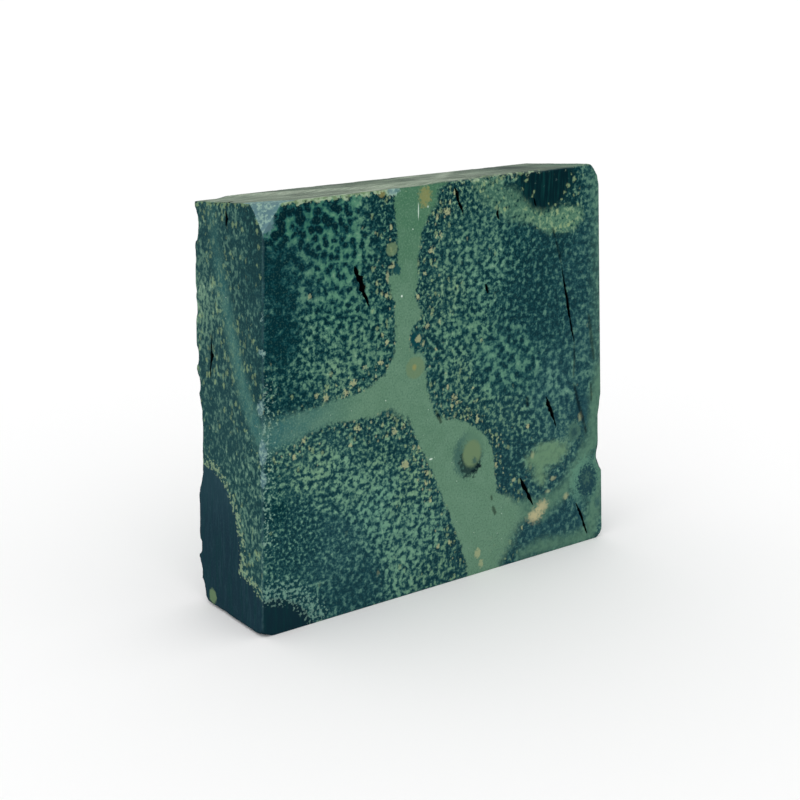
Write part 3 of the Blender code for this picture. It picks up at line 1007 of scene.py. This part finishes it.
# Black for painted shade in the open cracks and along the hairlines.
PAINTED_CRACK_SHADE = paint(2, 4, 6)
BAND_MINT = paint(92, 138, 118)
TOP_GREY = paint(92, 103, 92)
TOP_PALE = paint(164, 176, 158)
TOP_DULL = paint(126, 141, 125)
TOP_DARK = paint(80, 92, 82)
TOP_SHADE = paint(66, 73, 70)
LINE_GREEN = paint(126, 152, 112)
LINE_PALE = paint(168, 190, 156)

# %% Spots
# Centre, radii, colour, softness, raggedness and strength. Those at X -43.5 are on the left side.
SPOTS = (
    ((-7.9, 0, 46.3), (2.5, 2.5, 2.5), OLIVE, 0.25, 0.15, 0.75),
    ((-8.1, 0, 46.4), (0.75, 1, 0.9), OCHRE, 0.8, 0.3, 0.7),
    ((-13.4, 0, 69.8), (1.5, 2, 1.5), OLIVE, 0.3, 0.2, 0.8),
    ((5.4, 0, 26.1), (4.4, 3, 5.4), RING_TEAL, 0.3, 0.35, 0.65),
    ((6.6, 0, 27.9), (3.7, 3, 3.9), VEIN_GREEN, 0.5, 0.4, 0.8),
    ((5.9, 0, 24.9), (3.1, 3, 4.0), EYE_BLACK, 0.3, 0.7, 0.7),
    ((6.4, 0, 26.2), (2.75, 2.5, 3.3), OLIVE, 0.3, 0.15, 1.0),
    ((7.1, 0, 24.5), (1.0, 1, 1.2), RING_TEAL, 0.9, 0.9, 0.7),
    ((8.1, 0, 23.3), (0.95, 1, 0.85), EYE_BLACK, 0.6, 0.9, 0.95),
    ((7.2, 0, 22.4), (1.2, 1, 0.45), EYE_BLACK, 0.6, 0.9, 0.9),
    ((-7.5, 0, 51.8), (2.0, 2, 1.9), DEEP_GROUND, 0.4, 0.6, 0.9),
    ((-7.2, 0, 51.9), (0.9, 1, 0.9), TAN_SPECK, 0.5, 0.8, 0.7),
    ((-12.2, 0, 65.9), (1.1, 1, 1.2), DEEP_GROUND, 0.4, 0.8, 0.9),
    ((-14.4, 0, 64.8), (0.45, 1, 1.5), TAN_SPECK, 0.6, 0.8, 0.6),
    ((-13.4, 0, 66.6), (1.0, 1, 0.45), TAN_SPECK, 0.6, 0.8, 0.6),
    ((-14.6, 0, 38.5), (2.0, 1, 0.7), DEEP_GROUND, 0.6, 1.2, 0.7),
    ((-5.7, 0, 78.9), (1.9, 1.5, 2.6), OCHRE, 0.6, 0.9, 0.6),
    ((-7.25, 0, 76.3), (0.16, 1, 2.0), SCRATCH_WHITE, 0.6, 0.2, 0.8),
    ((-5.0, 0, 76.9), (0.3, 1, 0.3), SCRATCH_WHITE, 0.6, 0.2, 0.5),
    ((-11.1, 0, 60.7), (0.3, 1, 0.3), SCRATCH_WHITE, 0.6, 0.2, 0.9),
    ((-4.0, 0, 27.1), (0.55, 1, 0.25), SCRATCH_WHITE, 0.6, 0.5, 0.9),
    ((-13.3, 0, 80.3), (1.3, 1.5, 0.9), BRUISE_PALE, 0.5, 0.8, 0.8),
    ((-15.6, 0, 80.2), (0.9, 1, 0.9), OCHRE, 0.5, 0.6, 0.6),
    ((23.6, 0, 9.0), (2.7, 2, 2.1), CREAM, 0.8, 0.6, 0.85),
    ((25.7, 0, 10.6), (2.3, 2, 2.0), CREAM, 0.8, 0.6, 0.75),
    ((34.2, 0, 25.6), (2.9, 2, 3.2), BAND_GREEN, 0.6, 0.9, 0.6),
    ((34.2, 0, 25.4), (1.4, 2, 1.8), SLATE_CORE, 0.8, 0.6, 0.7),
    ((35.8, 0, 28.6), (1.0, 1, 1.3), TAN_SPECK, 0.8, 0.6, 0.5),
    ((32.4, 0, 11.5), (1.1, 1, 1.0), TAN_SPECK, 0.8, 0.5, 0.7),
    ((8.3, 0, 4.3), (1.0, 1, 1.4), TAN_SPECK, 0.6, 0.8, 0.7),
    ((9.2, 0, 1.8), (0.8, 1, 1.2), TAN_SPECK, 0.6, 0.8, 0.6),
    ((17.6, 0, 18.2), (0.7, 1, 0.5), TAN_SPECK, 0.6, 0.6, 0.7),
    ((28.5, 0, 16.3), (1.2, 1, 0.7), TAN_SPECK, 0.8, 0.5, 0.6),
    ((27.2, 0, 13.7), (1.1, 1, 0.6), TAN_SPECK, 0.8, 0.5, 0.5),
    ((22.6, 0, 22.6), (0.7, 1, 1.1), TAN_SPECK, 0.8, 0.5, 0.5),
    ((37.8, 0, 14.2), (5.4, 3, 6.4), BAND_MINT, 0.5, 0.6, 0.7),
    ((38.4, 0, 13.6), (3.5, 2.5, 4.9), SLATE_CORE, 0.45, 0.8, 0.95),
    ((38.3, 0, 14.2), (1.8, 2, 2.4), BAND_GREEN, 1.2, 1.4, 0.5),
    ((41.8, 0, 8.0), (1.2, 2, 1.8), SLATE_GROUND, 0.8, 0.6, 0.6),
    ((36.6, 0, 6.4), (1.3, 1, 4.6), SLATE_GROUND, 0.9, 0.5, 0.6),
    ((36.9, 0, 29.5), (1.4, 2, 4.6), SLATE_GROUND, 0.9, 0.5, 0.6),
    ((-40.2, 0, 77.5), (2.0, 1.2, 2.6), BRUISE_GREY, 0.5, 0.7, 0.75),
    ((-43.5, 18.2, 1.9), (2.0, 1.7, 1.8), OLIVE, 0.35, 0.3, 0.9),
    ((-43.0, 21.8, 79.8), (3.0, 3.0, 2.4), MINT_MOTTLE, 0.6, 0.5, 0.6),
    ((-43.2, 18.5, 72.5), (1.5, 0.7, 0.7), YELLOW_SPECK, 0.6, 0.5, 0.8),
    ((-43.2, 16.7, 72.8), (1.5, 0.5, 0.5), YELLOW_SPECK, 0.6, 0.5, 0.7),
)

# %% Build the material
shader_tree = jasper.node_tree
shader = shader_tree.nodes["Principled BSDF"]
object_place = Wire(shader_tree.nodes.new("ShaderNodeTexCoord").outputs["Object"])
stone_place = object_place.scaled(1 / MM).vector("SUBTRACT", tuple(ruler_zero))


def stored(name):
    """A number of the map, read from the net."""
    settings = {"attribute_type": "GEOMETRY", "attribute_name": name}
    return object_place.node("ShaderNodeAttribute", settings, None, "Fac")


def shifted(offset):
    return stone_place.vector("ADD", offset)


def border(name, wobble, softness):
    """A stored depth as a share, 0 outside and 1 inside, with a border that wobbles and is soft."""
    return ((stored(name) + vein_wobble * wobble) / softness).rise(-1, 1)


def layered(paint_below, *layers):
    """Lays paints over a colour, in their order. Each layer is its share and its colour."""
    for share, layer_paint in layers:
        paint_below = share.tint(paint_below, layer_paint)
    return paint_below


def tell(step):
    print(step, "made, now", len(shader_tree.nodes), "nodes")


light, bright, fine, round_blots, warm, deep = (stored(name) for name in MOOD_NAMES)
front, top = stored("front"), stored("top")
sawn = 1 - front.at_least(top)
split = [stone_place.node("ShaderNodeSeparateXYZ", None, {0: stone_place}, k) for k in range(3)]
across, inward, height = split

vein_wobble = (stone_place.grain(0.45) - 0.5) * 1.8 + (stone_place.grain(1.7) - 0.5) * 1.6
softness = stored("softness")
vein = border("vein", 0.6 + softness.at_most(0.7), softness)
near_vein = stored("vein").rise(-6, -0.8)
tell("places and moods")

# %% [markdown]
# ### Mottle
# Up close the ground is dark blue-green and full of pale grains about a millimetre wide, which run together
# into worms. A picture would end at the edges, so noise in the stone's own space makes the grains, and they
# match round every corner. The moods choose between coarse noise, fine noise and round cells, and say how
# much of it is pale.

# %% Mottle
large = stone_place.grain(0.62, 2, 0.55)
middle = stone_place.grain(0.98, 2, 0.55)
small = stone_place.grain(1.5, 2, 0.55)
tiny = stone_place.grain(2.6, 2, 0.6)
drift = shifted((3, 17, 8)).grain(0.3)
share_fine = (fine + near_vein * 0.3).at_most(1)
speckle = share_fine.rise(0, 0.4).blend(large, middle)
speckle = share_fine.rise(0.4, 1).blend(speckle, small)
warped = stone_place.vector("ADD", stone_place.grain(0.8, 1, output=1).vector("SUBTRACT", (0.5, 0.5, 0.5)))
cells = warped.node("ShaderNodeTexVoronoi", {"feature": "SMOOTH_F1"},
                    {"Vector": warped, "Scale": 0.68, "Smoothness": 0.2})
blots = cells * 0.6 + 0.22 + (middle - 0.5) * 0.32
speckle = (round_blots * 0.9).blend(speckle, blots)
combed = stone_place.stretched((1, 1, 0.75)).grain(1.15, 2, 0.6)
speckle = (sawn * 0.7).blend(speckle, combed)
frost = border("frost", 1.4, 1.2)
patch = border("patch", 1.5, 1.4)
level = speckle + (drift - 0.5) * 0.1 - (0.5 + (0.5 - (light - near_vein * 0.1)) * 0.32)
level = (level + patch * 0.06) * (1 + round_blots * 0.6 + sawn * 0.4) + (tiny - 0.5) * 0.12
glow = shifted((9, 3, 5)).grain(0.42, 3, 0.65)
hill = level.rise(-0.11, 0.24) * 0.74 + level.rise(-0.02, 0.06) * 0.36
mottle = hill * bright * (0.55 + glow * 0.9).at_most(1.2)

core = level.rise(0, -0.15) * (0.75 + round_blots * 0.25)
ground = layered(
    core.tint(deep.tint(SLATE_GROUND, DEEP_GROUND), deep.tint(SLATE_CORE, DEEP_CORE)),
    (sawn * (0.95 - deep * 0.5), SIDE_GROUND),
    (tiny.rise(0.5, 0.75) * 0.22, GREEN_MOTTLE),
)
mottle_paint = layered(
    deep.tint(MINT_MOTTLE, GREEN_MOTTLE),
    (warm, WARM_MOTTLE),
    (round_blots * deep, BLOT_GREEN),
    (sawn * 0.7, SIDE_MOTTLE),
)
pale_grains = level.rise(0.08, 0.2) * small.rise(0.5, 0.62) * (0.6 - round_blots * 0.45)
colour = layered(
    ground,
    (mottle, mottle_paint),
    (pale_grains, PALE_FLECK),
    (patch * (0.5 + middle * 0.8), PATCH_GREEN),
)
tell("mottle")

# %% [markdown]
# ### Pale bands, specks and flecks
# Yellow and tan specks crowd along the veins and in one pale band under the dark orb. Objects would be far
# too many, so each cell of a cell noise may hold one speck: a chance from the cell's colour picks the
# cells, and fine noise tears the speck's outline. Only the largest flecks have places of their own.

# %% Pale bands of fine grain
frost_grain = (small - 0.5) * 0.9 + (middle - 0.5) * 1.5 + (tiny - 0.5) * 0.35
frost_cover = 0.5 + across.rise(12, 24) * 0.42
frost_shine = 0.25 + across.rise(15, 27) * 0.7
colour = layered(
    colour,
    (frost * frost_grain.rise(-0.34, -0.08) * frost_cover, FROST_GREEN),
    (frost * frost_grain.rise(-0.02, 0.26) * frost_shine, FROST_PALE),
)
tell("pale bands")

# %% Tan specks
# Cells for each millimetre, the share of them that may hold a speck, and the specks' strength.
SPECK_SIZES = ((0.95, 1, 0.85), (1.8, 0.55, 0.55))

clusters = shifted((6, 1, 9)).grain(0.28).rise(0.4, 0.6)
speck_share = warm * near_vein * (0.42 + clusters * 0.45) + warm * 0.07 + frost * 0.2 + sawn * 0.14
for scale, share, strength in SPECK_SIZES:
    specks = stone_place.stretched((scale, scale, scale * 0.7)).vector("ADD", (31, 7, 12))
    cell_values = {"Vector": specks, "Scale": 1}
    cell_gap = specks.node("ShaderNodeTexVoronoi", {"feature": "F1"}, cell_values, "Distance")
    cell_colour = specks.node("ShaderNodeTexVoronoi", {"feature": "F1"}, cell_values, "Color")
    chance = specks.node("ShaderNodeSeparateColor", None, {0: cell_colour}, "Red")
    tone = specks.node("ShaderNodeSeparateColor", None, {0: cell_colour}, "Green")
    chosen = (speck_share * (share - sawn * (scale - 1) * 0.6) - chance).rise(0, 0.02)
    speck_hill = 0.5 - cell_gap + (small - 0.5) * 1.1 + (tiny - 0.5) * 0.5
    tan = speck_hill.rise(0, 0.3) * chosen * (0.55 + tone * 0.45) * (1 - sawn * 0.3) * strength
    speck_paint = tone.rise(0.5, 1).tint(YELLOW_SPECK, TAN_SPECK)
    speck_paint = sawn.at_least(frost).tint(speck_paint, YELLOW_SPECK)
    colour = tan.tint(colour, speck_paint)
tell("specks")

# %% Large flecks
# The largest yellow flecks beside the veins: X, Z and radius on the polished face.
FLECKS = (
    (-0.3, 75.5, 0.9), (-2, 71.3, 0.75), (-4.2, 68.7, 0.9), (-5.7, 64.5, 0.6), (-5.2, 54, 0.8),
    (-16, 48.6, 0.85), (-19.7, 48.2, 0.7), (-22.3, 45.7, 1), (-23.9, 44.1, 0.9), (-28.5, 43.8, 0.9),
    (-21.3, 36.7, 0.8), (-12.9, 34.4, 0.9), (-10.2, 27.3, 1.2), (1.7, 38.6, 0.9), (7.8, 33.6, 0.7),
)


def dots_at(dots):
    """How far a place is inside the nearest of some round dots. It is below 0 outside."""
    inside = height * 0 - 9
    for x, z, radius in dots:
        inside = inside.at_least(radius - stone_place.vector("SUBTRACT", (x, 0, z)).length())
    return inside


flecks = dots_at(FLECKS) + (small - 0.5) * 2 + (tiny - 0.5) * 2.4 - 0.15
colour = (flecks.rise(0, 0.5) * 0.75).tint(colour, TAN_SPECK)
tell("flecks")

# %% [markdown]
# ### Bands and veins
# The veins are smooth mint stone, a little darker at the stem, teal in the left arm and paler below. They
# lie over the mottle, so they are painted over it. The stored depth gives their border and noise makes it
# wander, which stays sharp however coarse the net is. A faint cloud and a fine grain keep the smooth green
# from looking flat.

# %% Bands and veins
band = border("band", 1.3, 1.6) * (0.85 + (middle - 0.5) * 1.2)
vein_cloud = shifted((5, 5, 5)).grain(0.35, 3).rise(0.3, 0.7) * (0.32 - height.rise(60, 80) * 0.2)
sparks = shifted((2, 40, 3)).grain(1.6, 1).rise(0.74, 0.78)
vein_paint = layered(
    height.rise(52, 80).tint(VEIN_GREEN, STEM_GREEN),
    (across.rise(-18, -40), ARM_TEAL),
    (height.rise(32, 10) * 0.22, VEIN_PALE),
    (vein_cloud, VEIN_PALE),
    (tiny.rise(0.5, 0.68) * 0.45, VEIN_PALE),
    (tiny.rise(0.5, 0.32) * 0.5, VEIN_DEEP),
    (sparks * 0.6, SCRATCH_WHITE),
)
faded = across.rise(-28, -38) * 0.1 + sawn * height.rise(58, 76) * 0.55
faded = faded + (middle - 0.5).at_least(0) * (softness - 0.3).at_most(1.2) * 1.3
colour = layered(colour, (band, BAND_GREEN), (vein * (1 - faded), vein_paint))
tell("bands and veins")

# %% [markdown]
# ### Orbs
# An orb is a dark ball in the stone, combed by fibres and often ringed by pale flecks. The stored depth
# inside each ellipsoid gives the ball and its ring at once: the ball is where it is above 0, the ring where
# it is just below.

# %% Orbs
# Pale round dots over the dark orb and beside it: X, Z and radius on the polished face.
DOTS = (
    (31.8, 78.9, 0.75), (30.2, 77.8, 0.75), (29.4, 76.5, 0.6), (33.3, 77, 0.5), (33.2, 76, 0.45),
    (28.6, 75.2, 0.5), (31.9, 75.7, 0.45), (33, 73.7, 0.6), (19.2, 79.8, 0.65), (21.2, 77.3, 0.55),
    (20.7, 76.5, 0.45), (18.2, 78.2, 0.5), (27, 74.2, 0.5), (25.2, 74.6, 0.35), (34.2, 79.4, 0.4),
    (16.4, 80.2, 0.5), (30.9, 79.9, 0.35),
)

ball = stored("orb")
rim = stored("orb_rim")
orb_wobble = (stone_place.grain(0.5) - 0.5) * 1.4 + (small - 0.5) * 0.8
orb = ((ball + orb_wobble) / (1.5 - rim * 1.2)).rise(-0.7, 0.7)
fibres = stone_place.stretched((1.3, 1, 0.12)).grain(1, 3, 0.6)
combing = stone_place.stretched((1.4, 1.4, 0.22)).grain(1, 3, 0.7).rise(0.46, 0.68)
orb_shine = height.rise(14, 27) * 0.6 + tiny.rise(0.5, 0.75) * 0.35 + combing * 0.45
orb_paint = layered(
    (rim * (1 - front * 0.5)).tint(DARK_ORB, SLATE_ORB),
    (fibres.rise(0.45, 0.66) * (0.75 - rim * 0.4), ORB_FIBRE),
    ((1 - front) * orb_shine, ORB_PALE),
)
dots = dots_at(DOTS) + (small - 0.5) * 1.4 - 0.1
ring = ball / (1 + front * 0.8)
rim_share = ring.rise(-2.4, -0.6) * ring.rise(0.9, -0.2) * rim
rim_flecks = (small + (middle - 0.5) * 0.4 + rim_share * 0.12 - 0.6).rise(0, 0.06)
rim_flecks = rim_flecks * rim_share.rise(0, 0.3) * (0.75 - front * 0.2)
colour = layered(
    colour,
    (orb, orb_paint),
    (dots.rise(0, 0.45) * 0.65, YELLOW_SPECK),
    (rim_flecks, front.tint(RIM_GREEN, RIM_PALE)),
)
tell("orbs")

# %% [markdown]
# ### Spots and hairlines
# The small things that catch the eye are one of a kind: olive discs, the ringed eye in the vein, cream
# patches, white scratches. Each is an ellipsoid from the list above, in its own paint. Hairline cracks are
# too fine to cut, so a black line of painted shade is drawn where the stored distance is under half its
# width.

# %% Spots and hairlines
for centre, radii, tone, soft, ragged, strength in SPOTS:
    reach = stone_place.vector("SUBTRACT", centre).vector("DIVIDE", radii).length()
    share = (1 - reach + (small - 0.5) * ragged * 2).rise(0, soft)
    colour = (share * strength).tint(colour, tone)
hair_half = stored("hair_half")
hair_gap = hair_half.maths("ABSOLUTE", stored("hair_offset"))
hair = hair_half * (small * 2.6 - 0.3) - hair_gap
# Painted shade along the hairline cracks.
colour = (hair.rise(-0.35, 0.15) * hair_half.rise(0.02, 0.15) * 0.6).tint(colour, PAINTED_CRACK_SHADE)
tell("spots and hairlines")

# %% [markdown]
# ### The sawn top, the edges and the chips
# The top was sawn and never polished, so dust and fine scratches grey it, with streaks along the saw's way
# and two pale lines where veins come out. Knocked edges and the chipped corner show pale bruised stone. A
# painted sheen lies along the rounded right edge, and the open cracks are painted black inside as shade.
# These lie on the surface, not in the stone, so the map's sides and edges place them, and they are painted
# last.

# %% The sawn top
streaks = stone_place.stretched((0.14, 1.6, 1)).grain(1, 3, 0.65)
clouds = shifted((1, 2, 3)).grain(0.12, 3, 0.6)
top_share = (streaks.rise(0.4, 0.62) * 0.8 + clouds.rise(0.45, 0.62) * 0.3).at_most(1)
first_line = across * 0.629 + inward * 0.778 + 2.87 + (clouds - 0.5) * 3
second_line = across * -0.724 + inward * 0.69 - 2.91 + (clouds - 0.5) * 3
behind = first_line.rise(0.5, 2) * inward.rise(8, 14) * across.rise(8, -4)
top_shade = across.rise(17, 26) * across.rise(32, 27) * (0.2 + inward.rise(6, 13) * 0.7)
first_pale = first_line.rise(-2.2, -0.3) * first_line.rise(2.2, 0.3) * across.rise(-8, -11)
second_pale = second_line.rise(-2.4, -0.3) * second_line.rise(1.8, 0.3) * across.rise(0, 5)
front_patch = across.rise(-14, -8) * across.rise(5, 0) * inward.rise(11, 5)
top_paint = layered(
    top_share.tint(TOP_GREY, across.rise(5, 22).tint(TOP_PALE, TOP_DULL)),
    ((behind * 0.6 + 0.25) * streaks.rise(0.56, 0.4), TOP_DARK),
    (behind * 0.45, TOP_DARK),
    (top_shade * (0.5 + clouds.rise(0.56, 0.44) * 0.5), TOP_SHADE),
    (first_pale.at_least(second_pale) * 0.55, TOP_PALE),
    (tiny.rise(0.5, 0.35) * 0.3, TOP_DARK),
    (across.rise(26, 36) * inward.rise(16, 4) * 0.5, BAND_GREEN),
    (across.rise(-24, -38) * 0.4, TOP_DULL),
    (front_patch * 0.3, TOP_PALE),
)
colour = (top * 0.88).tint(colour, top_paint)
tell("sawn top")

# %% The edges and the chips
edge_noise = shifted((8, 1, 0)).grain(0.8, 3, 0.6) - 0.5
top_line = stored("top_line")
top_line = (top_line + edge_noise * 2.4 - 0.35).rise(0, 0.3) * top_line.rise(0, 0.15)
sill = stored("sill")
sill = (sill * 0.5 + edge_noise * 1.8 - 0.3).rise(0, 0.15) * sill.rise(0, 0.3) * sawn
frosting = stored("left_zone") * front * height.rise(52, 46) * height.rise(10, 20)
frosting = (small + (tiny - 0.5) * 0.6 + frosting * 0.16 - 0.66).rise(0, 0.1) * frosting.rise(0, 0.3)
# Painted sheen on the upper part of the rounded right edge.
right_edge_sheen = stored("right_edge_sheen") * height.rise(24, 36)
left_line = (stored("left_line") + edge_noise - 0.35).rise(0, 0.5)
bruise = (stored("bruise") + (small - 0.5) * 1.6 - 0.45).rise(0, 0.3) * 0.75
chip = (stored("chip") + (small - 0.5) * 0.5 + (middle - 0.5) * 1.2).rise(0.2, 0.6)
chip = chip * height.rise(74.4, 76.4) * 0.88
knocked = bruise.at_least(chip)
colour = layered(
    colour,
    (top_line * 0.7, middle.rise(0.42, 0.58).tint(LINE_GREEN, LINE_PALE)),
    (sill * 0.6, LINE_GREEN),
    (frosting * 0.4, BRUISE_PALE),
    # painted sheen along the rounded right edge
    (right_edge_sheen * (0.35 + (middle - 0.5) * 0.6), BAND_GREEN),
    (left_line * 0.15, BRUISE_GREY),
    (knocked, (small.rise(0.45, 0.66) * 0.8).tint(BRUISE_GREY, BRUISE_PALE)),
    # painted shade inside the open cracks
    (stored("crack").rise(0, 0.2), PAINTED_CRACK_SHADE),
)
tell("edges and chips")

# %% [markdown]
# ### Finish of the faces
# The front has a soft polish, the sawn sides are dull and the broken stone lies between them. Roughness
# alone tells them apart. The photographed stone hardly mirrors its bright tent, so its shine is set very
# low, and a slight bump of fine scratches stays off the polished front.

# %% Finish of the faces
SAWN_ROUGHNESS = 0.78
POLISHED_ROUGHNESS = 0.28
BROKEN_ROUGHNESS = 0.62
SPECULAR = 0.012
SCRATCH_STRENGTH = 0.5
SCRATCH_DEPTH = 0.12

rough = front.blend(SAWN_ROUGHNESS, POLISHED_ROUGHNESS)
rough = knocked.blend(rough, BROKEN_ROUGHNESS)
shader_tree.links.new(colour.socket, shader.inputs["Base Color"])
shader_tree.links.new(rough.socket, shader.inputs["Roughness"])
shader.inputs["Specular IOR Level"].default_value = SPECULAR

scratches = stone_place.stretched((0.5, 2.4, 0.25)).grain(1.0, 3.0, 0.6) * (1 - front)
bump_values = {"Strength": SCRATCH_STRENGTH, "Distance": SCRATCH_DEPTH * MM, "Height": scratches}
bump = scratches.node("ShaderNodeBump", None, bump_values)
shader_tree.links.new(bump.socket, shader.inputs["Normal"])
tell("finish")

# %% [markdown]
# ## Hand over
# The dressed stone stands for the plain solid and moves with the only body.

# %% Hand over
SHARP_ANGLE = 38
BOX_MARGIN = 0.002

stone.data.shade_smooth()
stone.data.set_sharp_from_angle(angle=math.radians(SHARP_ANGLE))
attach(stone, "root")
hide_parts("stone_slab")
places = points_of(stone)
low_side, high_side = on_ruler(np.array(cad_low)), on_ruler(np.array(cad_high))
move_points(stone, np.clip(places, low_side + BOX_MARGIN, high_side - BOX_MARGIN))
look_low, look_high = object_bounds()
look_size, cad_size = ((high - low) / MM for high, low in ((look_high, look_low), (cad_high, cad_low)))
print("box", np.array(look_size).round(2), "of", np.array(cad_size).round(2))
